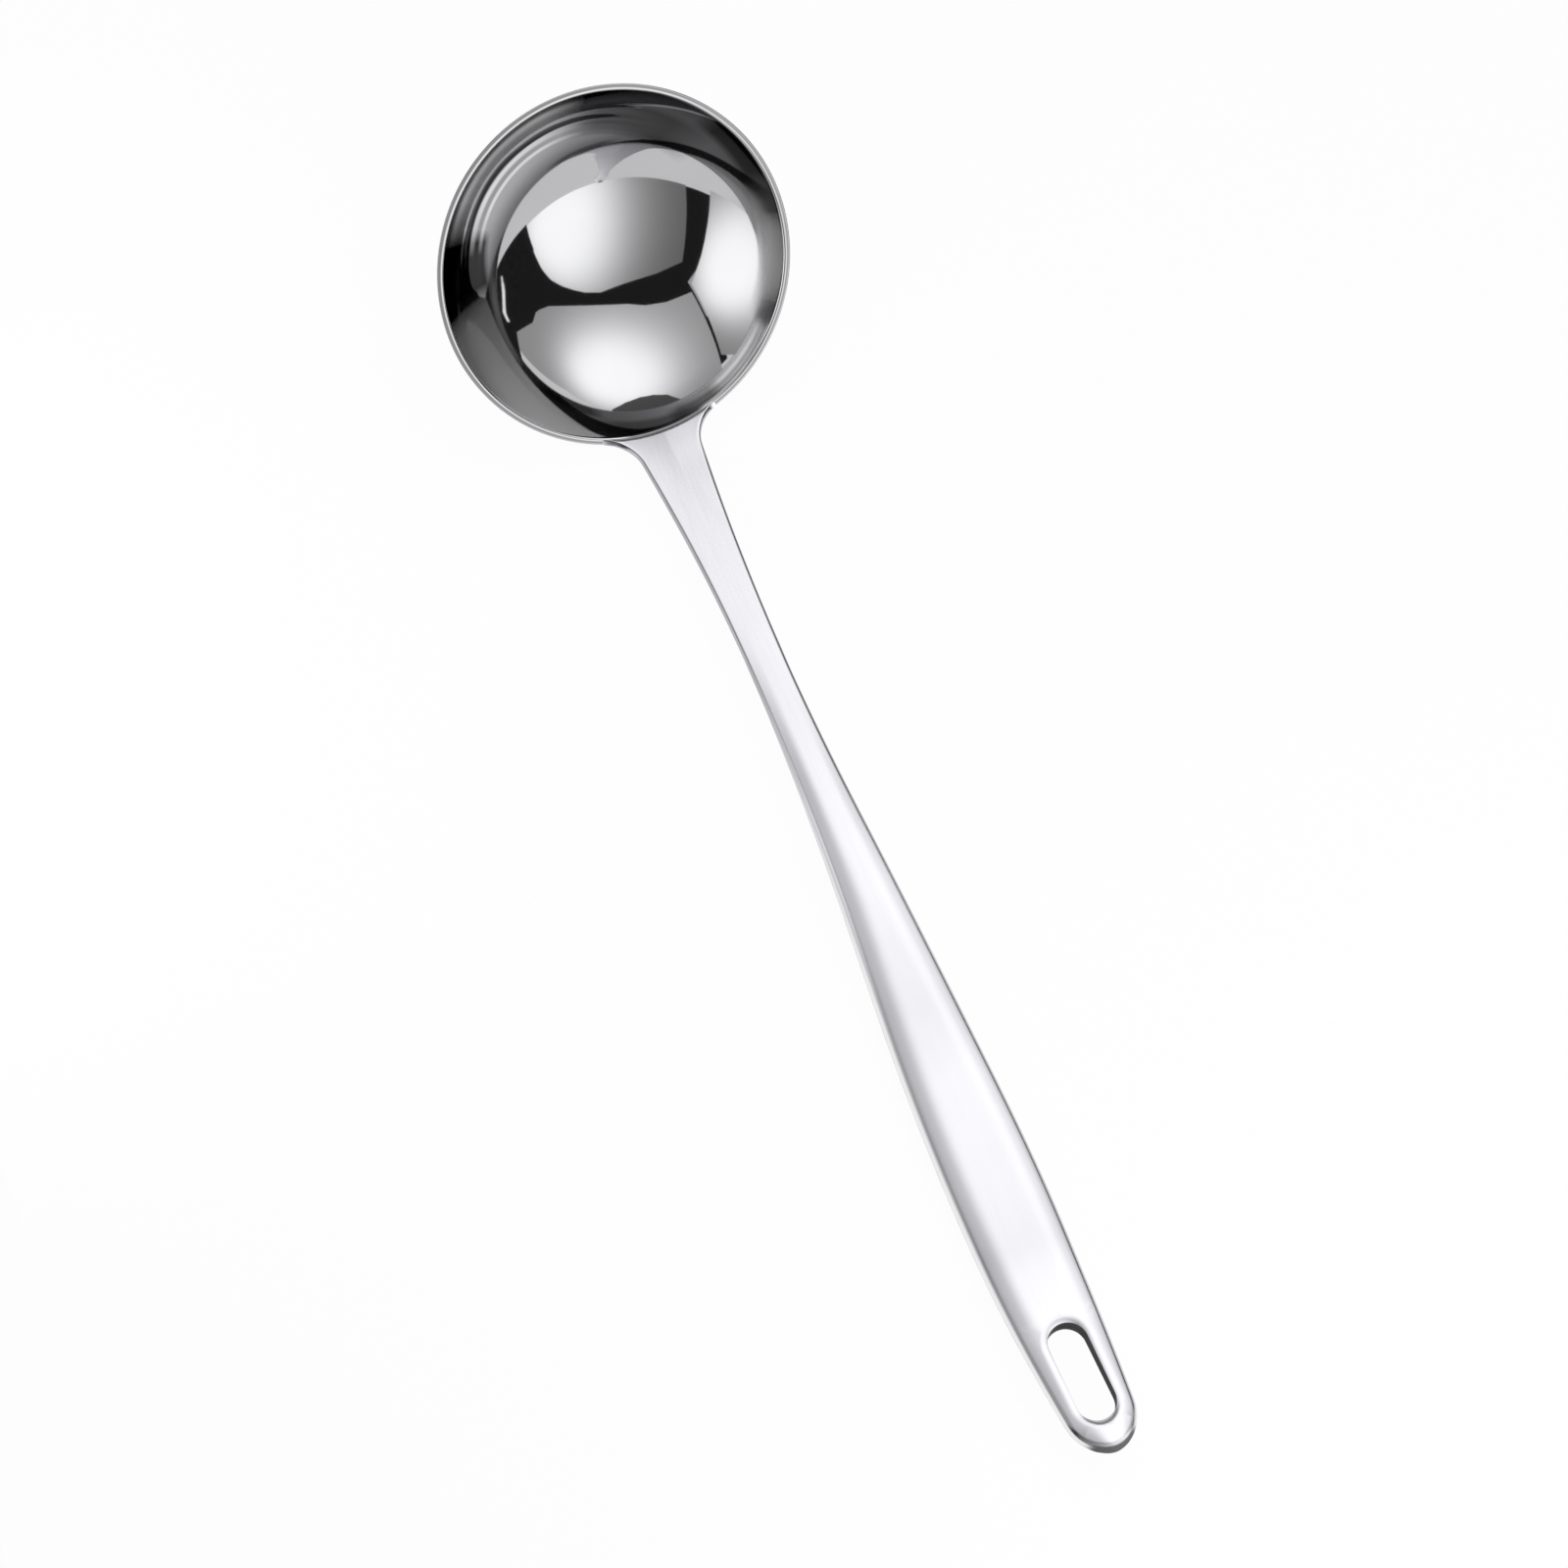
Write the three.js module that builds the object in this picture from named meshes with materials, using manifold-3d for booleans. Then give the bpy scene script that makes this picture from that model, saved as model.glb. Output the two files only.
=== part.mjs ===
// A steel soup ladle, lying as it rests on a table: X runs along the handle, Z is up.
// The bowl rests on its round underside and the grip on its flat back.
import * as THREE from 'three';
import { mergeVertices } from 'three/addons/utils/BufferGeometryUtils.js';
import Module from 'manifold-3d';

// Sizes in millimetres, angles in degrees. Places along the handle are distances from the rim.
const overallLength = 322.6;
const sheet = 1.3; // wall of the bowl and of both handle shells
const seat = 0.3; // gap left at each welded joint

const rimDiameter = 85;
const rimSlope = 61; // of the wall at the rim, against the plane of the rim
const rimEdge = 0.35; // rounding of the rim's two edges
const bowlTilt = 42; // lean of the bowl's axis towards the handle

const rootHalfWidth = 8.4; // of the neck, where its fillets start
const rootFillet = 6.5; // from the neck's edges into the rim
const rootLevels = 6; // where the neck's root has turned square to its length
const neckFlattens = 25; // where the neck has lost the curve of the rim
const neckEdge = 0.9; // width of the neck's rounded edges
const waistHalfWidth = 4.6;
const waistAt = 64;

const gripHalfWidth = 10.85;
const gripFromTip = 60.5; // from the widest place to the tip
const noseTaper = 3.5; // loss of half width from there to the tip
const noseRound = 9; // length of the tip's rounded end
const frontDepth = 3.6; // from the front shell's edges to its flat middle
const frontTipDepth = 2.7; // the same at the tip, where the handle is thinner
const frontEdge = 1.4; // width of the front's rounded edges
const shoulderSlope = 15; // of the front's sloping shoulders along both edges
const shoulderBand = 2.2; // width of each shoulder's straight slope
const shoulderFade = 6.5; // from the edge to where each shoulder has turned into the flat middle
const shoulderStarts = 35;
const shoulderFull = 100; // where the shoulders have their full slope
const backDepth = 3.2; // from the front shell's edges to the flat back
const backTipDepth = 2.2;
const backEdge = 2.8; // width of the back's rounded edges
const hollowStarts = 56; // where the front shell starts to deepen
const hollowFull = 150; // where both shells have their full depth
const backStarts = 68; // where the rear shell begins
const tongue = 9; // length of the rear shell's rounded root
const tipRound = 1.5; // length over which the faces round off into the tip
const tipLand = 0.02; // what the rounding leaves at the very tip
const endWall = 3; // solid length between the hollow and the tip
const hollowOverlap = 0.6; // how far each shell's hollow reaches past the seam

const neckSlope = 48; // of the neck past its bend, against the plane of the rim
const neckBend = 0.3; // length of each leg of the bend from the bowl's wall into the neck
const crestFromTip = 150; // to the highest place of the handle's arch
const crestHeight = 6.6; // of the front shell's edges there
const restFromTip = 48; // to the level, flat-backed stretch that the grip rests on
const restLength = 40;
const tipLift = 6; // rise of the handle's end above that stretch
const tipSlope = 8;

const slotLength = 23;
const slotWidth = 10.2;
const slotFromTip = 18.4; // to the slot's centre
const sleeveWall = 0.9;

const weldRadius = 1.3;
const weldLength = 18;

const steelBright = { color: 0xdfe1e4, roughness: 0.05, metalness: 1 };
const steelSatin = { color: 0xd6d7da, roughness: 0.34, metalness: 1 };
const steelWeld = { color: 0xb9bbbf, roughness: 0.45, metalness: 1 };

const wasm = await Module();
wasm.setup();

const { clamp, degToRad, smoothstep } = THREE.MathUtils;
const quarterTurn = Math.PI / 2;

function solidOf(geometry) {
  const bare = geometry.clone();
  bare.deleteAttribute('normal');
  bare.deleteAttribute('uv');
  const merged = mergeVertices(bare);
  return new wasm.Manifold(new wasm.Mesh({
    numProp: 3,
    vertProperties: merged.attributes.position.array,
    triVerts: new Uint32Array(merged.index.array),
  }));
}

function geometryOf(solid) {
  const mesh = solid.getMesh();
  const geometry = new THREE.BufferGeometry();
  geometry.setAttribute('position', new THREE.BufferAttribute(mesh.vertProperties, 3));
  geometry.setIndex(new THREE.BufferAttribute(mesh.triVerts, 1));
  geometry.computeVertexNormals();
  return geometry;
}

function piece(name, geometry, look) {
  const mesh = new THREE.Mesh(geometry, new THREE.MeshStandardMaterial(look));
  mesh.name = name;
  return mesh;
}

// Values from one end up to, but without, the other.
function spaced(from, to, steps) {
  return Array.from({ length: steps }, (_, i) => from + ((to - from) * i) / steps);
}

// Skins a row of convex rings that have equal numbers of points, and closes both ends.
function loft(rings) {
  const count = rings[0].length;
  const last = (rings.length - 1) * count;
  const index = [];
  for (let ring = 0; ring < last; ring += count) {
    for (let i = 0; i < count; i++) {
      const a = ring + i;
      const b = ring + ((i + 1) % count);
      index.push(a, b, a + count, b, b + count, a + count);
    }
  }
  for (let i = 1; i + 1 < count; i++) {
    index.push(0, i + 1, i);
    index.push(last, last + i, last + i + 1);
  }
  const geometry = new THREE.BufferGeometry().setFromPoints(rings.flat());
  geometry.setIndex(index);
  return solidOf(geometry);
}

// The bowl is two concentric spheres cut by the plane of the rim. Its own frame starts at the rim's centre.
const rimRadius = rimDiameter / 2;
const slope = degToRad(rimSlope);
const rimLand = sheet / Math.sin(slope);
const innerRadius = rimRadius - rimLand;
const innerSphere = innerRadius / Math.sin(slope);
const centreHeight = innerSphere * Math.cos(slope);
const outerSphere = Math.hypot(rimRadius, centreHeight);

function bowlShell() {
  const innerTurn = Math.asin(innerRadius / innerSphere) - rimEdge / innerSphere;
  const outerTurn = Math.asin(rimRadius / outerSphere) - rimEdge / outerSphere;
  const outerEdge = new THREE.Vector2(0, centreHeight).addScaledVector(
    new THREE.Vector2(Math.sin(outerTurn), -Math.cos(outerTurn)),
    outerSphere,
  );
  const profile = new THREE.Path();
  profile.absarc(0, centreHeight, innerSphere, -quarterTurn, innerTurn - quarterTurn, false);
  profile.quadraticCurveTo(innerRadius, 0, innerRadius + rimEdge, 0);
  profile.lineTo(rimRadius - rimEdge, 0);
  profile.quadraticCurveTo(rimRadius, 0, outerEdge.x, outerEdge.y);
  profile.absarc(0, centreHeight, outerSphere, outerTurn - quarterTurn, -quarterTurn, true);
  return new THREE.LatheGeometry(profile.getPoints(5).reverse(), 72).rotateX(quarterTurn);
}

const bowlGroup = new THREE.Group();
bowlGroup.rotation.y = degToRad(bowlTilt);
bowlGroup.position
  .set(0, 0, -centreHeight)
  .applyEuler(bowlGroup.rotation)
  .add(new THREE.Vector3(outerSphere - overallLength / 2, 0, outerSphere));
bowlGroup.updateMatrix();

// The spine lies on the front shell's edges. It leaves the rim's outer edge along the bowl's wall, bends into
// the neck, arches over a crest, runs level where the grip rests and lifts to the tip.
function upright(angle) {
  return new THREE.Vector3(Math.cos(angle), 0, Math.sin(angle));
}

function inBowlPlane(angle) {
  return upright(angle).applyEuler(bowlGroup.rotation);
}

// A curve that leaves and arrives along given directions, each pulling on a third of its length.
function easedCurve(from, leaving, to, arriving) {
  const pull = from.distanceTo(to) / 3;
  return new THREE.CubicBezierCurve3(
    from,
    from.clone().addScaledVector(leaving, pull),
    to.clone().addScaledVector(arriving, -pull),
    to,
  );
}

const rimOutwards = inBowlPlane(0);
const neckForward = inBowlPlane(degToRad(neckSlope));
const level = upright(0);
const neckRoot = new THREE.Vector3(rimRadius, 0, 0).applyMatrix4(bowlGroup.matrix);
const bendCorner = neckRoot.clone().addScaledVector(inBowlPlane(slope), neckBend);
const bendEnd = bendCorner.clone().addScaledVector(neckForward, neckBend);
const tip = new THREE.Vector3(overallLength / 2, 0, backDepth + tipLift);
const crest = new THREE.Vector3(tip.x - crestFromTip, 0, crestHeight);
const restEnd = new THREE.Vector3(tip.x - restFromTip, 0, backDepth);
const restStart = new THREE.Vector3(restEnd.x - restLength, 0, backDepth);

const spine = new THREE.CurvePath();
spine.add(new THREE.QuadraticBezierCurve3(neckRoot, bendCorner, bendEnd));
spine.add(easedCurve(bendEnd, neckForward, crest, level));
spine.add(easedCurve(crest, level, restStart, level));
spine.add(new THREE.LineCurve3(restStart, restEnd));
spine.add(easedCurve(restEnd, level, tip, upright(degToRad(tipSlope))));
const handleLength = spine.getLength();
const widestAt = handleLength - gripFromTip;
const slotAt = handleLength - slotFromTip;

// How far a quarter ellipse has risen over a length, 0 at its end and 1 from there on.
function rounding(distance, length) {
  return Math.sqrt(1 - (1 - clamp(distance / length, 0, 1)) ** 2);
}

function halfWidth(along) {
  if (along >= widestAt) {
    const taper = noseTaper * ((along - widestAt) / gripFromTip) ** 2;
    return (gripHalfWidth - taper) * rounding(handleLength - along, noseRound);
  }
  if (along >= waistAt) {
    return waistHalfWidth + (gripHalfWidth - waistHalfWidth) * smoothstep(along, waistAt, widestAt);
  }
  const clear = Math.max(along, 0);
  const inFillet = Math.max(rootFillet - clear, 0);
  const fillet = rootFillet - Math.sqrt(rootFillet ** 2 - inFillet ** 2);
  return waistHalfWidth + (rootHalfWidth - waistHalfWidth) * (1 - clear / waistAt) ** 2 + fillet;
}

function deepened(neckValue, gripValue, along) {
  return neckValue + (gripValue - neckValue) * smoothstep(along, hollowStarts, hollowFull);
}

// A shell's depth: the sheet alone at the neck, hollow at the grip and thinner again towards the tip.
function shellDepth(neckDepth, gripDepth, tipDepth, along) {
  const thinner = (gripDepth - tipDepth) * smoothstep(along, widestAt, handleLength);
  return deepened(neckDepth, gripDepth, along) - thinner;
}

// A point of the handle, from its place along the spine and its offsets sideways and up. The neck's root is
// bent round the rim and cut along the rim's plane.
function handlePoint(along, side, up) {
  const share = clamp(along / handleLength, 0, 1);
  const forward = spine.getTangentAt(share);
  const bend = rimRadius - Math.sqrt(rimRadius ** 2 - side ** 2);
  const slant = (up / Math.tan(slope)) * (1 - smoothstep(along, 0, rootLevels));
  const point = spine.getPointAt(share);
  point.addScaledVector(forward, Math.min(along, 0) - slant);
  point.addScaledVector(new THREE.Vector3(-forward.z, 0, forward.x), up);
  point.addScaledVector(rimOutwards, -bend * (1 - smoothstep(along, 0, neckFlattens)));
  point.y += side;
  return point;
}

// How far the front falls from its flat middle into a sloping shoulder along each edge.
function shoulderDrop(along, side) {
  const half = halfWidth(along);
  const steepness = Math.tan(degToRad(shoulderSlope)) * smoothstep(along, shoulderStarts, shoulderFull);
  const fade = Math.min(shoulderFade, half * 0.9);
  const band = Math.min(shoulderBand, half * 0.35);
  const fromEdge = half - Math.abs(side);
  const turn = clamp((fade - fromEdge) / (fade - band), 0, 1);
  return steepness * ((fade - band) * (turn ** 3 - turn ** 4 / 2) + Math.max(band - fromEdge, 0));
}

function noDrop() {
  return 0;
}

// One shell's section, from its left edge over its face to its right edge.
function shellRing(along, half, edgeUp, faceUp, edge, drop) {
  const edgeWidth = Math.min(edge, half * 0.95);
  const flat = half - edgeWidth;
  const rounded = spaced(0, quarterTurn, 5).map((turn) => flat + edgeWidth * Math.cos(turn));
  const sides = [
    ...rounded,
    ...spaced(flat, -flat, 14),
    -flat,
    ...rounded.map((side) => -side).reverse(),
  ];
  return sides.map((side) => {
    const past = clamp((Math.abs(side) - flat) / edgeWidth, 0, 1);
    const edgeDrop = drop(along, half);
    const rise = (faceUp - edgeDrop - edgeUp) * Math.sqrt(1 - past ** 2);
    return handlePoint(along, side, edgeUp + rise + edgeDrop - drop(along, side));
  });
}

const noseAt = handleLength - noseRound;
const gripStations = [
  ...spaced(waistAt, widestAt, 10),
  ...spaced(widestAt, noseAt, 9),
  ...spaced(0, quarterTurn, 8).map((turn) => noseAt + noseRound * Math.sin(turn)),
  handleLength - tipLand,
];
const neckStations = [
  -2 * sheet,
  ...spaced(0, quarterTurn, 6).map((turn) => rootFillet * (1 - Math.cos(turn))),
  ...spaced(rootFillet, waistAt, 8),
];

function frontFace(along) {
  const depth = shellDepth(sheet, frontDepth, frontTipDepth, along);
  return depth * rounding(handleLength - along, tipRound);
}

function backFace(along) {
  const depth = shellDepth(sheet + seat, backDepth, backTipDepth, along) - seat;
  return -seat - depth * rounding(handleLength - along, tipRound);
}

// The handle's two halves as full bodies.
function frontBody() {
  return loft([...neckStations, ...gripStations].map((along) => shellRing(
    along,
    halfWidth(along),
    0,
    frontFace(along),
    deepened(neckEdge, frontEdge, along),
    (at, side) => shoulderDrop(at, side) * rounding(handleLength - at, tipRound),
  )));
}

function backBody() {
  const stations = [
    ...spaced(0, quarterTurn, 6).map((turn) => backStarts + tipLand + tongue * (1 - Math.cos(turn))),
    ...gripStations.filter((along) => along > backStarts + tongue),
  ];
  return loft(stations.map((along) => shellRing(
    along,
    halfWidth(along) * rounding(along - backStarts, tongue),
    -seat,
    backFace(along),
    deepened(neckEdge, backEdge, along),
    noDrop,
  ).reverse()));
}

// The space inside each half, inset from its faces. It reaches past the seam, so both shells are open there.
const hollowFrom = backStarts + tongue;
const hollowTo = handleLength - endWall;
const hollowStations = [
  hollowFrom,
  ...gripStations.filter((along) => along > hollowFrom + sheet && along < hollowTo - sheet),
  hollowTo,
];

function frontHollow(inset) {
  return loft(hollowStations.map((along) => shellRing(
    along,
    halfWidth(along) - inset,
    -hollowOverlap,
    frontFace(along) - inset,
    deepened(neckEdge, frontEdge, along),
    shoulderDrop,
  )));
}

function backHollow(inset) {
  return loft(hollowStations.map((along) => shellRing(
    along,
    halfWidth(along) - inset,
    hollowOverlap - seat,
    backFace(along) + inset,
    deepened(neckEdge, backEdge, along),
    noDrop,
  ).reverse()));
}

// A bar of the slot's outline, grown by a wall, that stands square to the handle.
function slotBar(wall) {
  const radius = slotWidth / 2 + wall;
  const reach = (slotLength - slotWidth) / 2;
  const outline = new THREE.Shape();
  outline.absarc(reach, 0, radius, -quarterTurn, quarterTurn, false);
  outline.absarc(-reach, 0, radius, quarterTurn, 3 * quarterTurn, false);
  const height = 4 * (frontDepth + backDepth);
  const bar = new THREE.ExtrudeGeometry(outline, { depth: height, bevelEnabled: false, curveSegments: 14 });
  const { x, z } = handlePoint(slotAt, 0, 0);
  const forward = spine.getTangentAt(slotAt / handleLength);
  bar.translate(0, 0, -height / 2).rotateY(-Math.atan2(forward.z, forward.x));
  return solidOf(bar.translate(x, 0, z));
}

// Everything under the rim's plane, which the neck stands on.
function underRim() {
  const depth = 2 * rimRadius;
  const block = new THREE.BoxGeometry(2 * rimDiameter, 2 * rimDiameter, depth);
  return solidOf(block.translate(0, 0, seat - depth / 2).applyMatrix4(bowlGroup.matrix));
}

// A half-round bead outside the joint of neck and rim, revolved about the bowl's axis and cut to length.
function weldBead() {
  const up = new THREE.Vector2(Math.cos(slope), Math.sin(slope));
  const out = new THREE.Vector2(Math.sin(slope), -Math.cos(slope));
  const middle = new THREE.Vector2(rimRadius, 0).addScaledVector(out, seat);
  const profile = [0, ...spaced(Math.PI, 0, 7), 0].map((turn) => middle.clone()
    .addScaledVector(up, weldRadius * Math.cos(turn))
    .addScaledVector(out, weldRadius * Math.sin(turn)));
  const ring = new THREE.LatheGeometry(profile, 120).rotateX(quarterTurn);
  const reach = new THREE.BoxGeometry(rimDiameter, weldLength, rimDiameter).translate(rimRadius, 0, 0);
  return solidOf(ring).intersect(solidOf(reach));
}

const slotHole = slotBar(0);
const front = frontBody().subtract(frontHollow(sheet)).subtract(slotHole).subtract(underRim());
const back = backBody().subtract(backHollow(sheet)).subtract(slotHole);
const sleeveSpace = frontHollow(sheet + seat).add(backHollow(sheet + seat));
const sleeve = slotBar(sleeveWall).subtract(slotHole).intersect(sleeveSpace);

bowlGroup.add(piece('bowl', bowlShell(), steelBright));
bowlGroup.add(piece('neck_weld', geometryOf(weldBead()), steelWeld));

const ladle = new THREE.Group();
ladle.add(bowlGroup);
ladle.add(piece('handle_front', geometryOf(front), steelSatin));
ladle.add(piece('handle_back', geometryOf(back), steelSatin));
ladle.add(piece('slot_sleeve', geometryOf(sleeve), steelSatin));

export default ladle;
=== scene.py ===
from bisect import bisect_right
from math import asin, cos, exp, hypot, pi, radians, sin, sqrt, tan

import bmesh
import bpy
from mathutils import Matrix, Vector
from mathutils.geometry import interpolate_bezier


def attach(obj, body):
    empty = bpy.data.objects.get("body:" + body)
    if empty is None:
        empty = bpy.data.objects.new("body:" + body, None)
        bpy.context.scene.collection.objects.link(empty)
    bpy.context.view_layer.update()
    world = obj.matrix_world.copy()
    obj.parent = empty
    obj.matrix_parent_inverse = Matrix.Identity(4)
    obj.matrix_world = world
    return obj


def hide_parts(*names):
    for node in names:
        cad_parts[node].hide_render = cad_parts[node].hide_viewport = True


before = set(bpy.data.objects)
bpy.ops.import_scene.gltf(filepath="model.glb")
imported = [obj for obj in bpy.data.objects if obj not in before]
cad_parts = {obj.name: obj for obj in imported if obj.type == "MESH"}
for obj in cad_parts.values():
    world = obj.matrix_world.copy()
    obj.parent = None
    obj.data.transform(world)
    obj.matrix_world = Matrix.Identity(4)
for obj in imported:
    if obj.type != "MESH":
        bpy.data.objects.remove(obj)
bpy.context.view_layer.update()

MM = 0.001

# The ladle's sizes, in metres. Places along the handle are distances from the rim.
overall_length = 322.6 * MM
sheet = 1.3 * MM
rim_radius = 42.5 * MM
rim_slope = radians(61)
rim_edge = 0.35 * MM
bowl_tilt = radians(42)

root_half = 8.4 * MM
root_fillet = 6.5 * MM
root_levels = 6 * MM
neck_flattens = 25 * MM
neck_edge = 0.9 * MM
neck_under_edge = 0.35 * MM
waist_half = 4.6 * MM
waist_at = 64 * MM

grip_half = 10.85 * MM
grip_from_tip = 60.5 * MM
nose_taper = 3.5 * MM
nose_round = 9 * MM
front_depth = 3.6 * MM
front_tip_depth = 2.7 * MM
front_edge = 1.4 * MM
shoulder_slope = tan(radians(15))
shoulder_band = 2.2 * MM
shoulder_fade = 6.5 * MM
shoulder_starts = 35 * MM
shoulder_full = 100 * MM
back_depth = 3.2 * MM
back_tip_depth = 2.2 * MM
back_edge = 2.8 * MM
hollow_starts = 56 * MM
hollow_full = 150 * MM
back_starts = 68 * MM
tongue = 9 * MM
seam = 0.02 * MM

neck_slope = radians(48)
neck_bend = 0.3 * MM
crest_from_tip = 150 * MM
crest_height = 6.6 * MM
rest_from_tip = 48 * MM
rest_length = 40 * MM
tip_lift = 6 * MM
tip_slope = radians(8)

slot_length = 23 * MM
slot_width = 9.2 * MM
slot_from_tip = 18.4 * MM
slot_lip = 1.8 * MM
slot_lip_depth = 0.36 * MM
slot_margin = 2.2 * MM
sleeve_wall = 0.9 * MM

weld_radius = 1.3 * MM
weld_length = 18 * MM
weld_off = 0.3 * MM
weld_dabs = 11
dab_depth = 0.12

# How finely the pieces are divided.
bowl_rows, bowl_columns = 56, 224
fillet_rows, neck_rows, tongue_rows, grip_rows, nose_rows = 24, 40, 20, 60, 60
flat_columns, edge_columns, lip_rows = 24, 10, 6
slot_points, bead_points, bead_steps, rim_steps = 96, 28, 96, 4
curve_points, bend_points = 500, 60
merge_distance = 0.001 * MM

side_axis = Vector((0, 1, 0))

rim_land = sheet / sin(rim_slope)
inner_radius = rim_radius - rim_land
inner_sphere = inner_radius / sin(rim_slope)
centre_height = inner_sphere * cos(rim_slope)
outer_sphere = hypot(rim_radius, centre_height)

bowl_turn = Matrix.Rotation(bowl_tilt, 4, "Y")
bowl_centre = Vector((outer_sphere - overall_length / 2, 0, outer_sphere))
rim_centre = bowl_centre + bowl_turn @ Vector((0, 0, -centre_height))
bowl_place = Matrix.Translation(rim_centre) @ bowl_turn
rim_outwards = bowl_turn @ Vector((1, 0, 0))


def clamp(value, low=0.0, high=1.0):
    return max(low, min(high, value))


def smoothstep(value, start, end):
    share = clamp((value - start) / (end - start))
    return share * share * (3 - 2 * share)


def rounding(distance, length):
    """How far a quarter ellipse has risen over a length."""
    return sqrt(1 - (1 - clamp(distance / length)) ** 2)


# The spine of the handle lies on the seam of its two shells.
def in_bowl_plane(angle):
    return bowl_turn @ Vector((cos(angle), 0, sin(angle)))


def eased(start, leaving, end, arriving):
    pull = (end - start).length / 3
    return interpolate_bezier(start, start + leaving * pull, end - arriving * pull, end, curve_points)


level = Vector((1, 0, 0))
neck_forward = in_bowl_plane(neck_slope)
neck_root = bowl_place @ Vector((rim_radius, 0, 0))
bend_corner = neck_root + in_bowl_plane(rim_slope) * neck_bend
bend_end = bend_corner + neck_forward * neck_bend
tip = Vector((overall_length / 2, 0, back_depth + tip_lift))
crest = Vector((tip.x - crest_from_tip, 0, crest_height))
rest_end = Vector((tip.x - rest_from_tip, 0, back_depth))
rest_start = rest_end - level * rest_length

bend = interpolate_bezier(
    neck_root,
    neck_root.lerp(bend_corner, 2 / 3),
    bend_end.lerp(bend_corner, 2 / 3),
    bend_end,
    bend_points,
)
arch = eased(bend_end, neck_forward, crest, level)
fall = eased(crest, level, rest_start, level)
lift = eased(rest_end, level, tip, Vector((cos(tip_slope), 0, sin(tip_slope))))
spine = bend + arch[1:] + fall + lift
spine_at = [0.0]
for before, after in zip(spine, spine[1:]):
    spine_at.append(spine_at[-1] + (after - before).length)
handle_length = spine_at[-1]
spine_forward = []
for i in range(len(spine)):
    spine_forward.append((spine[min(i + 1, len(spine) - 1)] - spine[max(i - 1, 0)]).normalized())
widest_at = handle_length - grip_from_tip
slot_at = handle_length - slot_from_tip
slot_reach = (slot_length - slot_width) / 2
slot_radius = slot_width / 2


def handle_point(along, side, up):
    """A place on the handle. The neck's root is bent round the rim."""
    held = clamp(along, 0, handle_length)
    i = clamp(bisect_right(spine_at, held) - 1, 0, len(spine) - 2)
    share = (held - spine_at[i]) / (spine_at[i + 1] - spine_at[i])
    forward = spine_forward[i].lerp(spine_forward[i + 1], share).normalized()
    point = spine[i].lerp(spine[i + 1], share) + forward * min(along, 0)
    curl = rim_radius - sqrt(rim_radius**2 - side**2)
    point += Vector((-forward.z, 0, forward.x)) * up
    point -= forward * up / tan(rim_slope) * (1 - smoothstep(along, 0, root_levels))
    point -= rim_outwards * curl * (1 - smoothstep(along, 0, neck_flattens))
    return point + side_axis * side


def nose_half(along):
    """Half the width towards the handle's end, without the end's rounding."""
    return grip_half - nose_taper * clamp((along - widest_at) / grip_from_tip) ** 2


def half_width(along):
    if along >= widest_at:
        return nose_half(along) * rounding(handle_length - along, nose_round)
    if along >= waist_at:
        return waist_half + (grip_half - waist_half) * smoothstep(along, waist_at, widest_at)
    clear = max(along, 0)
    in_fillet = max(root_fillet - clear, 0)
    fillet = root_fillet - sqrt(root_fillet**2 - in_fillet**2)
    return waist_half + (root_half - waist_half) * (1 - clear / waist_at) ** 2 + fillet


def deepened(neck_value, grip_value, along):
    return neck_value + (grip_value - neck_value) * smoothstep(along, hollow_starts, hollow_full)


def shell_depth(neck_depth, grip_depth, tip_depth, along):
    thinner = (grip_depth - tip_depth) * smoothstep(along, widest_at, handle_length)
    return deepened(neck_depth, grip_depth, along) - thinner


def slot_away(along, side):
    """Distance from the slot's wall."""
    return hypot(max(abs(along - slot_at) - slot_reach, 0), side) - slot_radius


def lip_drop(along, side):
    inside = slot_lip - clamp(slot_away(along, side), 0, slot_lip)
    return slot_lip_depth * (inside / slot_lip) ** 2


def past_edge(along, side, half, edge):
    """How far a place lies on the rounding along the outline: 0 where it starts, 1 on the outline."""
    away = half - abs(side)
    reach = handle_length - along
    if reach < nose_round:
        wide = nose_half(along)
        away = wide * (1 - hypot(1 - reach / nose_round, side / wide))
    return clamp(1 - away / edge) if edge > 0 else 0.0


def front_edge_width(along):
    return min(deepened(neck_edge, front_edge, along), half_width(along) * 0.95)


def front_under(along, side):
    """The neck's rounded lower edge. It fades out where the rear shell closes the handle."""
    round_off = neck_under_edge * (1 - smoothstep(along, back_starts - tongue, back_starts))
    past = past_edge(along, side, half_width(along), round_off)
    return round_off * (1 - sqrt(1 - past**2))


def shoulder_drop(along, side):
    """How far the front falls from its flat middle: a smooth turn into a sloping band along each edge."""
    half = half_width(along)
    slope = shoulder_slope * smoothstep(along, shoulder_starts, shoulder_full)
    fade = min(shoulder_fade, half * 0.9)
    band = min(shoulder_band, half * 0.35)
    from_edge = max(half - abs(side), 0)
    turn = clamp((fade - from_edge) / max(fade - band, 1e-9))
    return slope * ((fade - band) * (turn**3 - turn**4 / 2) + max(band - from_edge, 0))


def front_over(along, side):
    half = half_width(along)
    edge_drop = shoulder_drop(along, half)
    face = shell_depth(sheet, front_depth, front_tip_depth, along)
    low = front_under(along, half)
    past = past_edge(along, side, half, front_edge_width(along))
    shoulder = (face - edge_drop - low) * sqrt(1 - past**2)
    return low + shoulder + edge_drop - shoulder_drop(along, side)


def front_inside(along, side):
    return max(front_under(along, side), front_over(along, side) - sheet)


def back_half(along):
    return half_width(along) * rounding(along - back_starts, tongue)


def back_edge_width(along):
    return min(deepened(neck_edge, back_edge, along), back_half(along) * 0.95)


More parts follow.
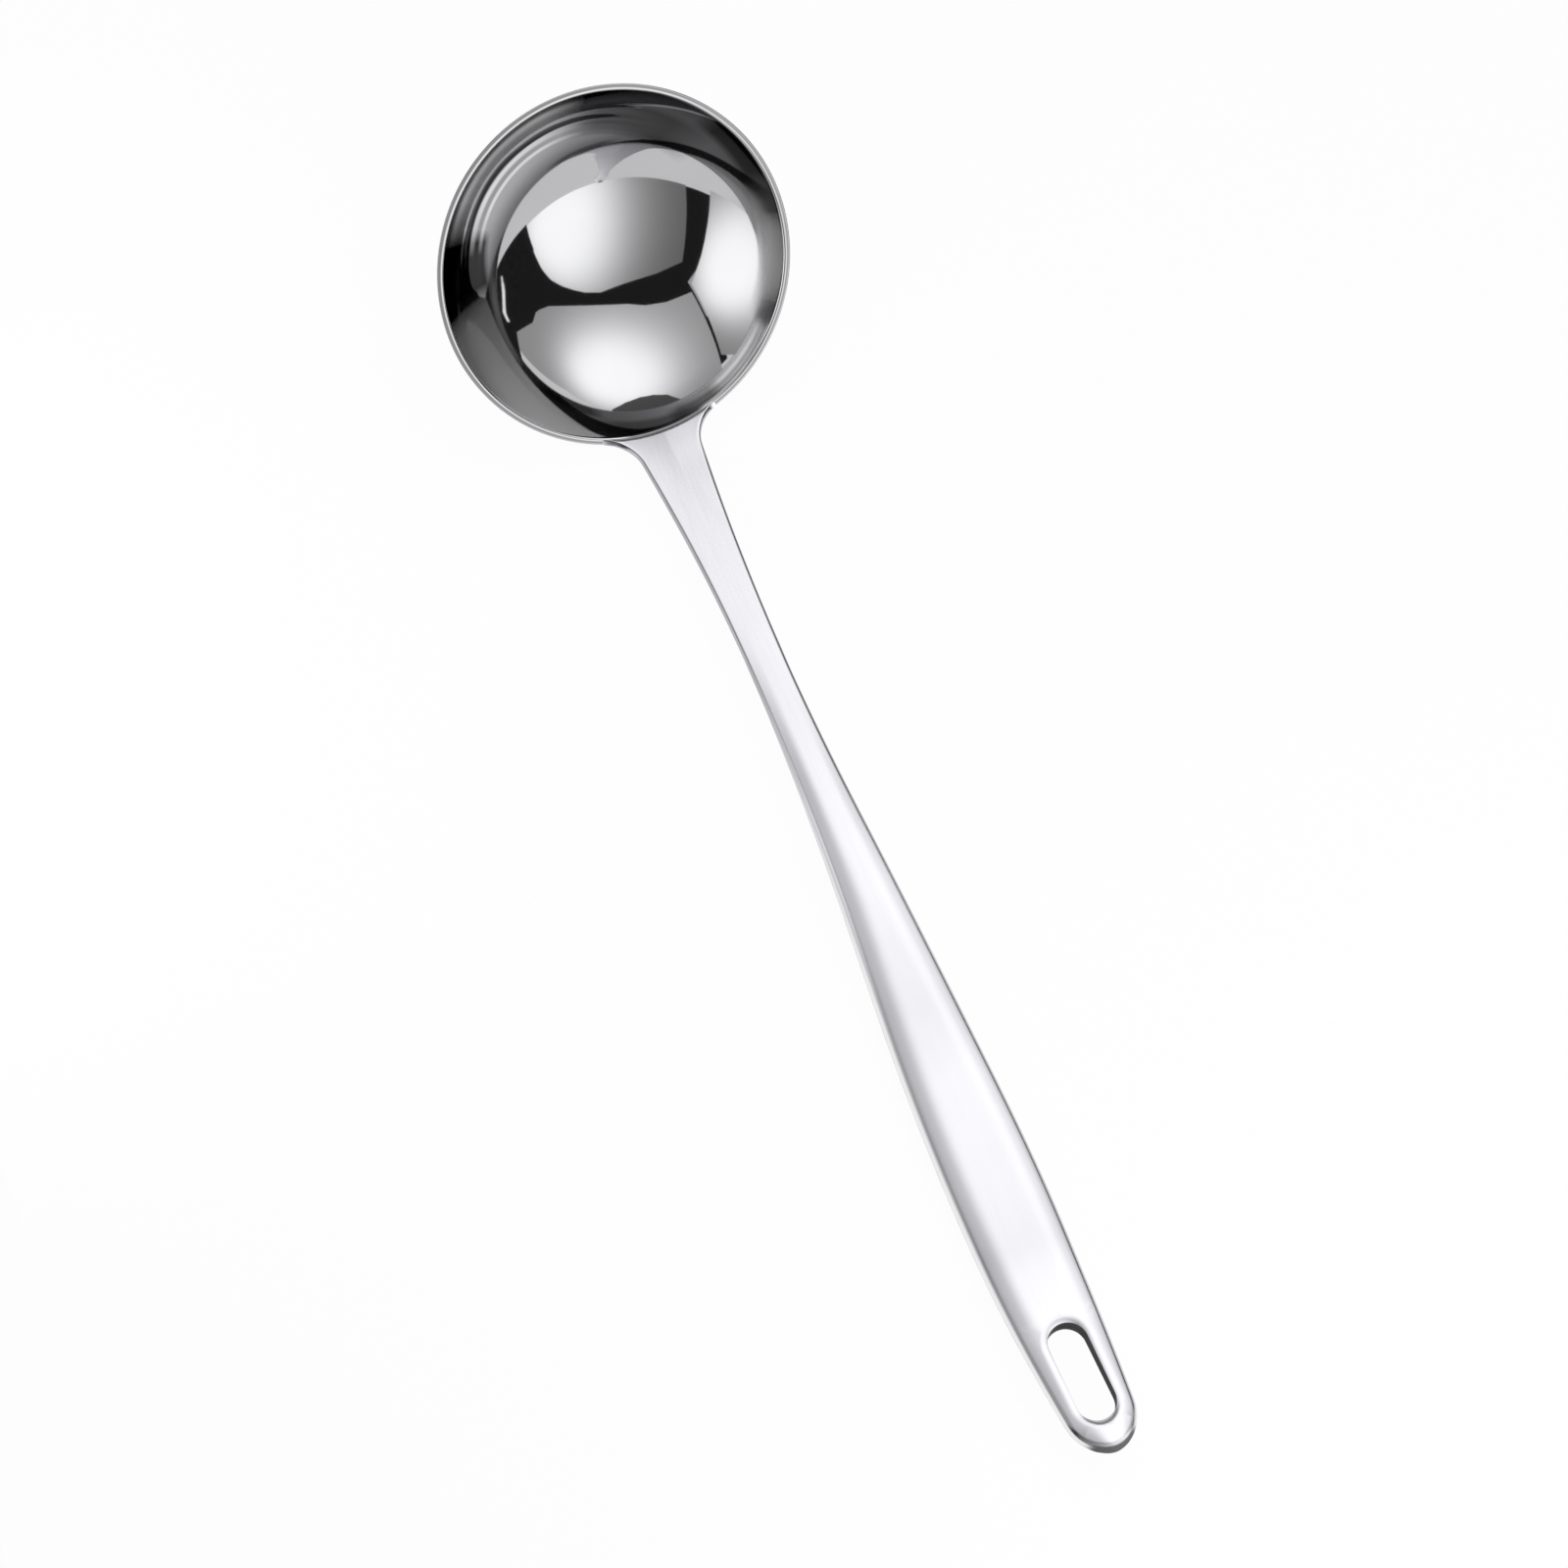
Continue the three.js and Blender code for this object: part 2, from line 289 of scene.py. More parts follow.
def back_over(along, side):
    depth = shell_depth(sheet, back_depth, back_tip_depth, along)
    past = past_edge(along, side, back_half(along), back_edge_width(along))
    return -seam - max(depth - seam, 0) * sqrt(1 - past**2)


def back_inside(along, side):
    return min(-seam, back_over(along, side) + sheet)


def clean(bm):
    bmesh.ops.remove_doubles(bm, verts=bm.verts, dist=merge_distance)
    bmesh.ops.dissolve_degenerate(bm, edges=bm.edges, dist=merge_distance / 10)
    bmesh.ops.recalc_face_normals(bm, faces=bm.faces)


def finish_mesh(bm, name, material, crease=32):
    clean(bm)
    mesh = bpy.data.meshes.new(name)
    bm.to_mesh(mesh)
    bm.free()
    mesh.shade_smooth()
    mesh.set_sharp_from_angle(angle=radians(crease))
    piece = bpy.data.objects.new(name, mesh)
    bpy.context.scene.collection.objects.link(piece)
    mesh.materials.append(material)
    return piece


def stand_in(piece, node):
    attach(piece, "root")
    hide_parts(node)


def onto_slot(verts, away):
    """Moves points of the flat layout straight towards the slot, until they are so far from its wall."""
    for vert in verts:
        middle = Vector((clamp(vert.co.x, slot_at - slot_reach, slot_at + slot_reach), 0, 0))
        vert.co = middle + (vert.co - middle).normalized() * (slot_radius + away)


def grown(made, kind):
    return [item for item in made["geom"] if isinstance(item, kind)]


# A dark line painted along the handle's edges on the rounding: painted shade that stands in for a dark
# reflection. How strong it is on the neck and on the grip, and its middle and width as shares of the
# rounding.
line_strength = (1.0, 0.22)
line_middle = (0.5, 0.3)
line_width = (0.4, 0.22)
line_fade_at_root = 0.85
line_fade_from, line_fade_to = 5 * MM, 13 * MM
wall_grip = 0.01 * MM


def painted_dark_line(along, side, past):
    """How dark the painted line is. On one side of the neck's root the line is faded out and hardly shows.
    """
    strength, middle, width = (deepened(*pair, along) for pair in (line_strength, line_middle, line_width))
    if side > 0:
        strength *= 1 - line_fade_at_root * (1 - smoothstep(along, line_fade_from, line_fade_to))
    return strength * exp(-(((past - middle) / width) ** 2))


def painted_edge_highlight(along, side, past):
    """How strong the painted highlight is on the rounding below that line, on the grip."""
    return deepened(0.0, 1.0, along) * smoothstep(past, 0.55, 0.8)


def painted_under_shade(along, side, past):
    """How strong the painted shade is on the rear shell where it turns under, next to the seam."""
    return 0.8 * smoothstep(past, 0.75, 0.9)


def no_shine(along, side, past):
    return 0.0


def painted_end_shade(along, past):
    """How strong the painted shade is on the narrow edge at the handle's very end."""
    from_tip = handle_length - along
    return (1 - smoothstep(from_tip, 2 * MM, 4 * MM)) * smoothstep(past, 0.35, 0.6)


def flat_layout(stations, half_at, edge_at):
    """The outline of a shell laid flat, as a grid that runs round the slot and ends in the slot's lip."""
    columns = flat_columns + 2 * edge_columns
    bm = bmesh.new()
    bmesh.ops.create_grid(bm, x_segments=len(stations) - 1, y_segments=columns, size=0.5)
    around_slot = set()
    for vert in bm.verts:
        row = round((vert.co.x + 0.5) * (len(stations) - 1))
        column = round((vert.co.y + 0.5) * columns) - columns // 2
        along = stations[row]
        edge = edge_at(along)
        flat = half_at(along) - edge
        beyond = max(abs(column) - flat_columns // 2, 0) / edge_columns
        side = flat * min(abs(column) / (flat_columns // 2), 1) + edge * sin(beyond * pi / 2)
        vert.co = Vector((along, side if column > 0 else -side, 0))
        if abs(column) <= flat_columns // 2 and abs(along - slot_at) <= slot_length / 2 + slot_margin:
            around_slot.add(vert)
    cut = [face for face in bm.faces if all(vert in around_slot for vert in face.verts)]
    bmesh.ops.delete(bm, geom=cut, context="FACES")
    hole = [edge for edge in bm.edges if edge.is_boundary and all(v in around_slot for v in edge.verts)]
    for row in range(lip_rows + 1):
        ring = bmesh.ops.extrude_edge_only(bm, edges=hole)
        onto_slot(grown(ring, bmesh.types.BMVert), slot_lip * (1 - sin(row / lip_rows * pi / 2)))
        hole = grown(ring, bmesh.types.BMEdge)
    return bm


def raise_shell(bm, over, inside, lip_sign, half_at, edge_at, line_at, shine_at):
    """Doubles the flat layout and lifts its two sides to the shell's outer and inner face.

    Marks painted light on the outer face: a painted dark line along the outer edge, a painted highlight
    below it, and painted shade on the wall where the slot was cut and on the handle's very end.
    """
    ground = bm.verts.layers.float.new("painted_dark_line")
    shine = bm.verts.layers.float.new("painted_edge_highlight")
    cut = bm.verts.layers.float.new("painted_shade_mark")
    outer = set(grown(bmesh.ops.extrude_face_region(bm, geom=bm.faces[:]), bmesh.types.BMVert))
    for vert in bm.verts:
        along, side, _ = vert.co
        # Painted shade on the slot's cut wall.
        vert[cut] = 1.0 if slot_away(along, side) < wall_grip else 0.0
        if vert in outer:
            past = past_edge(along, side, half_at(along), edge_at(along))
            vert[ground] = line_at(along, side, past)
            vert[shine] = shine_at(along, side, past)
            vert[cut] = max(vert[cut], painted_end_shade(along, past))
            up = over(along, side) - lip_sign * lip_drop(along, side)
        else:
            up = inside(along, side)
        vert.co = handle_point(along, side, up)


def spread(start, end, count):
    return [start + (end - start) * i / count for i in range(count)]


def crowded(start, length, count):
    """Places along a quarter round, close together where it starts."""
    return [start + length * (1 - cos(i / count * pi / 2)) for i in range(count)]


nose_stations = [widest_at + grip_from_tip * sin(i / nose_rows * pi / 2) for i in range(nose_rows + 1)]
grip_stations = spread(waist_at, widest_at, grip_rows) + nose_stations


def make_front(material):
    stations = crowded(seam, root_fillet, fillet_rows) + spread(root_fillet + seam, waist_at, neck_rows)
    bm = flat_layout(stations + grip_stations, half_width, front_edge_width)
    raise_shell(bm, front_over, front_inside, 1, half_width, front_edge_width, painted_dark_line, painted_edge_highlight)
    return finish_mesh(bm, "handle_front_shell", material)


def make_back(material):
    stations = crowded(back_starts, tongue, tongue_rows)
    stations += [along for along in grip_stations if along > back_starts + tongue]
    bm = flat_layout(stations, back_half, back_edge_width)
    raise_shell(bm, back_over, back_inside, -1, back_half, back_edge_width, painted_under_shade, no_shine)
    return finish_mesh(bm, "handle_rear_shell", material)


def make_sleeve(material):
    bm = bmesh.new()
    bore = bmesh.ops.create_circle(bm, cap_ends=False, segments=slot_points, radius=slot_radius)["verts"]
    for vert in bore:
        vert.co.x += slot_at + (slot_reach if vert.co.x > 0 else -slot_reach)
    wall = bmesh.ops.extrude_edge_only(bm, edges=bm.edges[:])
    onto_slot(grown(wall, bmesh.types.BMVert), sleeve_wall)
    top = set(grown(bmesh.ops.extrude_face_region(bm, geom=bm.faces[:]), bmesh.types.BMVert))
    for vert in bm.verts:
        along, side, _ = vert.co
        inside = front_inside(along, side) - seam if vert in top else back_inside(along, side) + seam
        vert.co = handle_point(along, side, inside)
    return finish_mesh(bm, "hanging_slot_sleeve", material)


def make_bowl(material):
    bm = bmesh.new()
    middle = (0, 0, centre_height)
    ends = []
    for sphere, turn in ((inner_sphere, rim_slope), (outer_sphere, asin(rim_radius / outer_sphere))):
        pole = bm.verts.new((0, 0, centre_height - sphere))
        arc = bmesh.ops.spin(bm, geom=[pole], cent=middle, axis=(0, -1, 0), angle=turn, steps=bowl_rows)
        ends += [item for item in arc["geom_last"] if isinstance(item, bmesh.types.BMVert)]
    bm.edges.new(ends)
    bmesh.ops.spin(
        bm,
        geom=bm.verts[:] + bm.edges[:],
        cent=(0, 0, 0),
        axis=(0, 0, 1),
        angle=2 * pi,
        steps=bowl_columns,
        use_merge=True,
    )
    clean(bm)
    rim = []
    for edge in bm.edges:
        here, there = edge.verts
        in_plane = max(abs(here.co.z), abs(there.co.z)) < merge_distance
        if in_plane and abs(here.co.xy.length - there.co.xy.length) < merge_distance:
            rim.append(edge)
    bmesh.ops.bevel(
        bm,
        geom=rim,
        offset=rim_edge,
        segments=rim_steps,
        profile=0.5,
        affect="EDGES",
        material=-1,
        clamp_overlap=True,
    )
    bmesh.ops.transform(bm, matrix=bowl_place, verts=bm.verts)
    return finish_mesh(bm, "ladle_bowl", material, crease=50)


def make_weld(material):
    """A bead laid along the outside of the joint, with a ripple for each dab of the torch."""
    rise = Vector((cos(rim_slope), 0, sin(rim_slope)))
    out = Vector((sin(rim_slope), 0, -cos(rim_slope)))
    middle = Vector((rim_radius, 0, 0)) + out * weld_off
    span = weld_length / rim_radius
    bm = bmesh.new()
    made = bmesh.ops.create_circle(bm, cap_ends=False, segments=bead_points, radius=weld_radius)
    for vert in made["verts"]:
        vert.co = middle + rise * vert.co.x + out * max(vert.co.y, 0)
    bmesh.ops.rotate(bm, cent=(0, 0, 0), matrix=Matrix.Rotation(-span / 2, 3, "Z"), verts=bm.verts)
    bmesh.ops.spin(
        bm,
        geom=bm.verts[:] + bm.edges[:],
        cent=(0, 0, 0),
        axis=(0, 0, 1),
        angle=span,
        steps=bead_steps,
    )
    for vert in bm.verts:
        turn = Vector((vert.co.x, vert.co.y)).angle_signed(Vector((1, 0)))
        share = clamp(2 * turn / span, -1, 1)
        dab = 1 - dab_depth * abs(sin(turn / span * weld_dabs * pi))
        taper = sqrt(max(1 - abs(share) ** 8, 0.0))
        seat = Matrix.Rotation(turn, 3, "Z") @ middle
        vert.co = seat + (vert.co - seat) * dab * taper
    bmesh.ops.transform(bm, matrix=bowl_place, verts=bm.verts)
    return finish_mesh(bm, "neck_weld_bead", material)


def grey(tone, blue=0.0):
    return (tone, tone, tone + blue, 1)


class Wire:
    """An output of a node that takes part in sums."""

    def __init__(self, finish, socket):
        self.finish = finish
        self.socket = socket

    def maths(self, operation, first, second):
        return self.finish.node("ShaderNodeMath", {"operation": operation}, {0: first, 1: second})

    def __add__(self, other):
        return self.maths("ADD", self, other)

    __radd__ = __add__

    def __sub__(self, other):
        return self.maths("SUBTRACT", self, other)

    def __rsub__(self, other):
        return self.maths("SUBTRACT", other, self)

    def __mul__(self, other):
        return self.maths("MULTIPLY", self, other)

    __rmul__ = __mul__

    def __truediv__(self, other):
        return self.maths("DIVIDE", self, other)

    def __rtruediv__(self, other):
        return self.maths("DIVIDE", other, self)

    def __pow__(self, power):
        return self.maths("POWER", self, power)

    def wave(self, operation):
        """The sine or cosine of it."""
        return self.finish.node("ShaderNodeMath", {"operation": operation}, {0: self})

    def within(self, low=0.0, high=1.0):
        return self.maths("MINIMUM", self.maths("MAXIMUM", self, low), high)

    def out(self, name):
        return Wire(self.finish, self.socket.node.outputs[name])


class Finish:
    """A node tree under construction."""

    def __init__(self, owner):
        owner.use_nodes = True
        self.owner = owner
        self.tree = owner.node_tree
        self.tree.nodes.clear()

    def node(self, kind, settings=None, values=None):
        made = self.tree.nodes.new(kind)
        for name, value in (settings or {}).items():
            setattr(made, name, value)
        for name, value in (values or {}).items():
            if isinstance(value, Wire):
                self.tree.links.new(value.socket, made.inputs[name])
            else:
                made.inputs[name].default_value = value
        live = [socket for socket in made.outputs if socket.enabled]
        return Wire(self, live[0]) if live else None

    def place(self, location=(0, 0, 0), rotation=(0, 0, 0), scale=(1, 1, 1)):
        where = self.node("ShaderNodeTexCoord").out("Object")
        moved = {"Vector": where, "Location": location, "Rotation": rotation, "Scale": scale}
        return self.node("ShaderNodeMapping", {"vector_type": "POINT"}, moved)

    def grain(self, where, scale, detail=2.0, roughness=0.5):
        values = {"Vector": where, "Scale": scale, "Detail": detail, "Roughness": roughness}
        return self.node("ShaderNodeTexNoise", None, values)

    def blend(self, share, first, second):
        return self.node("ShaderNodeMix", {"data_type": "RGBA"}, {0: share, 6: first, 7: second})

    def vectors(self, operation, first, second=(0, 0, 0)):
        return self.node("ShaderNodeVectorMath", {"operation": operation}, {0: first, 1: second})

    def marked(self, layer):
        """What was written on the piece's points."""
        return self.node("ShaderNodeAttribute", {"attribute_name": layer}).out("Fac")

    def bump(self, height, distance, normal=None):
        values = {"Strength": 1.0, "Distance": distance, "Height": height}
        if normal:
            values["Normal"] = normal
        return self.node("ShaderNodeBump", None, values)

    def steel(self, colour, roughness, normal, slant=grey(1)):
        """Bare metal. Slant is its tone where it is seen at a low angle."""
        values = {"Base Color": colour, "Metallic": 1.0, "Roughness": roughness, "Normal": normal}
        values["Specular Tint"] = slant
        return self.node("ShaderNodeBsdfPrincipled", None, values)

    def lamp(self, strength):
        return self.node("ShaderNodeEmission", None, {"Color": grey(1), "Strength": strength})

    def mixed(self, share, first, second):
        return self.node("ShaderNodeMixShader", None, {0: share, 1: first, 2: second})

    def done(self, surface):
        self.node("ShaderNodeOutputMaterial", None, {"Surface": surface})
        return self.owner


wheel_rings = 9000.0  # for each metre of radius
ripple_turn = 1795.0  # radians for each metre of radius, or a ripple every 3.5 mm
mask_fade = 0.1 * MM
land_depth = 0.3 * MM
lower_reach, lower_bend, lower_fade = 46.8 * MM, 18.2 * MM, 0.6 * MM


def mirror_steel():
    """Polished on a spinning wheel: faint rings round the bowl's axis, a slight waviness, a few dull smears.

    The outer part of the inner wall carries painted reflections: dark fields of painted shade, painted
    bright arcs and streaks, and rougher rubbed fields. Its fields are placed by the turn from the neck in
    degrees and the radius in millimetres.
    """
    mat = Finish(bpy.data.materials.new("mirror_polished_steel"))
    back = bowl_place.inverted()
    where = mat.place(back.translation, back.to_euler())
    parts = mat.node("ShaderNodeSeparateXYZ", None, {0: where})
    outwards, sideways, height = parts.out("X"), parts.out("Y"), parts.out("Z")
    around = mat.node("ShaderNodeCombineXYZ", None, {"X": outwards, "Y": sideways})
    radius = mat.vectors("LENGTH", around).out("Value")
    drift = mat.grain(where, 60.0)
    ring_at = mat.node("ShaderNodeCombineXYZ", None, {"X": radius * wheel_rings, "Y": drift * 3.0})
    rings = mat.grain(ring_at, 1.0, 3.0, 0.6)
    smear = mat.grain(where, 90.0, 4.0, 0.55)
    waves = mat.grain(where, 45.0, 1.0)

    def sector(turn, full, none):
        """1 within an angle to either side of a turn, and 0 past a wider angle."""
        near = (outwards * cos(radians(turn)) + sideways * sin(radians(turn))) / radius
        low = cos(radians(none))
        return ((near - low) / (cos(radians(full)) - low)).within()

    def beyond(start, end):
        """0 up to a radius, and 1 past a wider one."""
        return ((radius - start * MM) / ((end - start) * MM)).within()

    def arc(middle, width):
        """1 on a circle, and 0 past a distance to either side of it."""
        return (1 - ((radius - middle * MM) / (width * MM)) ** 2.0).within()

    from_centre = mat.vectors("DISTANCE", where, (0, 0, centre_height)).out("Value")
    mid_sheet = (inner_sphere + outer_sphere) / 2
    inside = ((mid_sheet - from_centre) / mask_fade).within()
    wall = inside * (1 - beyond(40.5, 40.8))
    land = ((height + land_depth) / mask_fade).within()
    far_wall = sector(-156, 42, 64)
    root = sector(2, 12, 15)

    rippled = wall * far_wall * beyond(28, 32) * (1 - beyond(34.5, 36.2))
    ripple = (radius * ripple_turn + drift + pi).wave("SINE")
    # Rubbed fields: rougher steel, with painted bright streaks and painted shade in their colour further
    # down.
    rubbed_field_with_painted_streaks = wall * sector(-150, 20, 36) * beyond(34.5, 37) * (1 - 0.5 * arc(40.2, 1.2))
    hazy = wall * sector(76, 18, 28) * beyond(36.2, 37)
    right_ring_painted_shade = wall * sector(74, 8, 16) * beyond(37.5, 39)
    lower_edge = lower_reach + lower_bend * sideways / radius
    lower_field_painted_shade = wall * sector(-50, 32, 40) * ((radius - lower_edge) / lower_fade).within()

    # Painted shade: dark fields blended into the colour, standing in for dark reflections on the wall, at
    # the neck's root and on the rim land.
    top_ring_painted_shade = wall * sector(152, 15, 32) * beyond(27.5, 29.5) * (0.6 - 0.5 * beyond(35.5, 37.5))
    top_rim_painted_shade = wall * sector(115, 10, 18) * beyond(36.5, 38) * 0.75
    left_wedge_painted_shade = wall * sector(-104, 10, 16) * beyond(26.2, 27.8) * 0.9
    neck_patch_painted_shade = wall * sector(4, 16, 26) * beyond(35.5, 37.5) * 0.12
    patch_end_painted_shade = wall * sector(15, 6, 11) * beyond(38.3, 39.2) * 0.6
    root_painted_shade = inside * root * arc(40.8, 0.5) * 0.8
    rim_painted_shade = land * (0.08 * beyond(40.9, 41.1) + 0.6 * arc(41.8, 0.4) * (1 - root))
    # Painted reflection: bright arcs blended into the colour.
    painted_bright_arcs = wall * sector(-148, 18, 40) * (arc(28.8, 0.7) + arc(31.4, 0.9) + arc(33.4, 0.7)).within()

    colour = mat.blend(smear, grey(0.488, 0.01), grey(0.518, 0.01))
    for shade in (top_ring_painted_shade, top_rim_painted_shade, left_wedge_painted_shade, neck_patch_painted_shade, patch_end_painted_shade, root_painted_shade, rim_painted_shade):
        colour = mat.blend(shade, colour, grey(0.03))
    colour = mat.blend(painted_bright_arcs * 0.9, colour, grey(0.95))
    roughness = 0.03 + 0.02 * rings + 0.03 * (smear - 0.45).within() + 0.13 * hazy
    normal = mat.bump(waves * 0.3 + ripple * rippled, 0.06 * MM)
    normal = mat.bump(rings, 0.0004 * MM, normal)
    polished = mat.steel(colour, roughness, normal, grey(0.05))

    # Painted reflection: bright streaks in the rubbed fields' colour, with painted shade in the lower and
    # right fields.
    painted_streaks = ((radius - 38.4 * MM) * ripple_turn + drift - 0.5).wave("COSINE")
    bright = (0.55 + 0.45 * painted_streaks * far_wall - 0.5 * lower_field_painted_shade - 0.5 * right_ring_painted_shade).within()
    rubbed_with_painted_streaks = mat.steel(mat.blend(bright, grey(0.45), grey(0.98)), 0.36 + 0.06 * rings, normal)
    share = (rubbed_field_with_painted_streaks + 0.8 * lower_field_painted_shade + 0.6 * right_ring_painted_shade).within()
    return mat.done(mat.mixed(share, polished, rubbed_with_painted_streaks))


def satin_steel(name, low, high):
    """Satin ground along the handle: fine lines of uneven length with a soft cloudiness under them."""
    mat = Finish(bpy.data.materials.new(name))
    lines = mat.grain(mat.place(scale=(60, 6000, 6000)), 1.0, 3.0, 0.6)
    strokes = mat.grain(mat.place(scale=(16, 1400, 1400)), 1.0, 2.0, 0.5)
    cloud = mat.grain(mat.place(), 70.0, 3.0)
    colour = mat.blend(cloud, low, high)
    # The painted dark line and the painted highlight along the outer edges, from the marks on the points.
    colour = mat.blend(mat.marked("painted_dark_line") * (0.7 + 0.3 * strokes), colour, grey(0.15, 0.01))
    colour = mat.blend(mat.marked("painted_edge_highlight") * (0.8 + 0.2 * strokes), colour, grey(0.86, 0.01))
    roughness = 0.15 + 0.06 * lines + 0.04 * strokes + 0.03 * cloud
    normal = mat.bump(lines * 0.6 + strokes * 0.4, 0.003 * MM)
    ground = mat.steel(colour, roughness, normal)
    # Painted shade: a dark matt finish on the slot's cut wall and the handle's very end.
    dull = mat.blend(cloud, grey(0.1, 0.002), grey(0.14, 0.002))
    matt = {"Base Color": dull, "Metallic": 0.0, "Roughness": 1.0, "Specular IOR Level": 0.0}
    edge = mat.node("ShaderNodeBsdfPrincipled", None, matt)
    return mat.done(mat.mixed(mat.marked("painted_shade_mark"), ground, edge))


def sleeve_steel():
    """The slot's lining, drawn, with fine lines down its wall. Its dark colour is painted shade inside the
    slot.
    """
    mat = Finish(bpy.data.materials.new("sleeve_steel_painted_shade"))
    lines = mat.grain(mat.place(scale=(5000, 5000, 200)), 1.0, 3.0, 0.6)
    cloud = mat.grain(mat.place(), 220.0)
    colour = mat.blend(cloud, grey(0.09, 0.002), grey(0.14, 0.002))
    roughness = 0.25 + 0.12 * lines + 0.06 * cloud
    return mat.done(mat.steel(colour, roughness, mat.bump(lines, 0.003 * MM), grey(0.3)))


def weld_steel():
    """A brushed bead: dull, a little darker, grainy."""
    mat = Finish(bpy.data.materials.new("brushed_weld_steel"))
    grit = mat.grain(mat.place(), 2400.0, 3.0, 0.6)
    tint = mat.grain(mat.place(), 260.0, 2.0)
    colour = mat.blend(tint, (0.52, 0.51, 0.51, 1), (0.64, 0.63, 0.64, 1))
    roughness = 0.3 + 0.16 * grit
    return mat.done(mat.steel(colour, roughness, mat.bump(grit, 0.01 * MM)))


def seen(finish):
    """1 for what the camera and the metal see, 0 for light that falls on the object."""
    path = finish.node("ShaderNodeLightPath")
    return (path.out("Is Camera Ray") + path.out("Is Glossy Ray") + path.out("Is Transmission Ray")).within()


def make_floor():
    mat = Finish(bpy.data.materials.new("pale_table"))
    mottle = mat.grain(mat.place(), 40.0, 3.0)
    board = mat.node("ShaderNodeBsdfDiffuse", None, {"Color": mat.blend(mottle, grey(0.86), grey(0.88))})
    mat.done(mat.mixed(seen(mat) * 0.95, board, mat.lamp(1.0)))
    bm = bmesh.new()
    bmesh.ops.create_grid(bm, x_segments=8, y_segments=8, size=4)
    finish_mesh(bm, "table_top", mat.owner)


# The place in the bowl that the cards of the light tent are set out from.
bowl_floor = Vector((-0.1128, 0, 0.03))


def card(name, corners, material):
    """A flat card of the light tent, from its corners. The camera looks past it and it throws no shadow."""
    bm = bmesh.new()
    bm.faces.new([bm.verts.new(bowl_floor + Vector(corner)) for corner in corners])
    mesh = bpy.data.meshes.new(name)
    bm.to_mesh(mesh)
    bm.free()
    mesh.materials.append(material)
    made = bpy.data.objects.new(name, mesh)
    bpy.context.scene.collection.objects.link(made)
    made.visible_camera = False
    made.visible_shadow = False
    return made


def flag(name, corners, material):
    """A card that only the metal sees."""
    made = card(name, corners, material)
    made.visible_diffuse = False
    made.visible_transmission = False


def toward(zenith, azimuth, distance):
    """A place seen from the bowl at an angle from straight up and an angle round from the handle."""
    flat = sin(radians(zenith)) * distance
    return (flat * cos(radians(azimuth)), flat * sin(radians(azimuth)), cos(radians(zenith)) * distance)


def overhead(outline, height):
    """Places above the bowl, from how far each lies to the side for each metre up."""
    return [(along * height, across * height, height) for along, across in outline]


def upright(outline, across):
    """Places on a sheet that stands beside the ladle, parallel to it."""
    return [(along, across, up) for along, up in outline]


def oblong(left, right, top):
    """The outline of a card that stands on the table."""
    return [(left, table_level), (right, table_level), (right, top), (left, top)]


def glow(name, bright, dim, hot, reach):
    """Cloth lit from behind: bright round one place, and dimmer away from it in each direction."""
    mat = Finish(bpy.data.materials.new(name))
    where = mat.node("ShaderNodeTexCoord").out("Object")
    off = mat.vectors("SUBTRACT", where, bowl_floor + Vector(hot))
    away = mat.vectors("LENGTH", mat.vectors("DIVIDE", off, reach)).out("Value")
    return mat.done(mat.lamp(dim + (bright - dim) / (1 + away**4.0)))


def plain_cloth(name, tone):
    mat = Finish(bpy.data.materials.new(name))
    weave = mat.grain(mat.place(), 60.0)
    return mat.done(mat.lamp(tone * (0.5 + weave)))


# Where the cards are, in metres from that place in the bowl.
ceiling_height = 4
gap_height = 4.8
shade_height = 3.7
corner_distance = 9
table_level = -0.03
end_along = 0.42
end_lean = 0.3233
side_across = -0.2
near_across = -0.5
near_back_across = -0.52
near_top = 0.66
far_across = 0.25
slit_across = 0.245


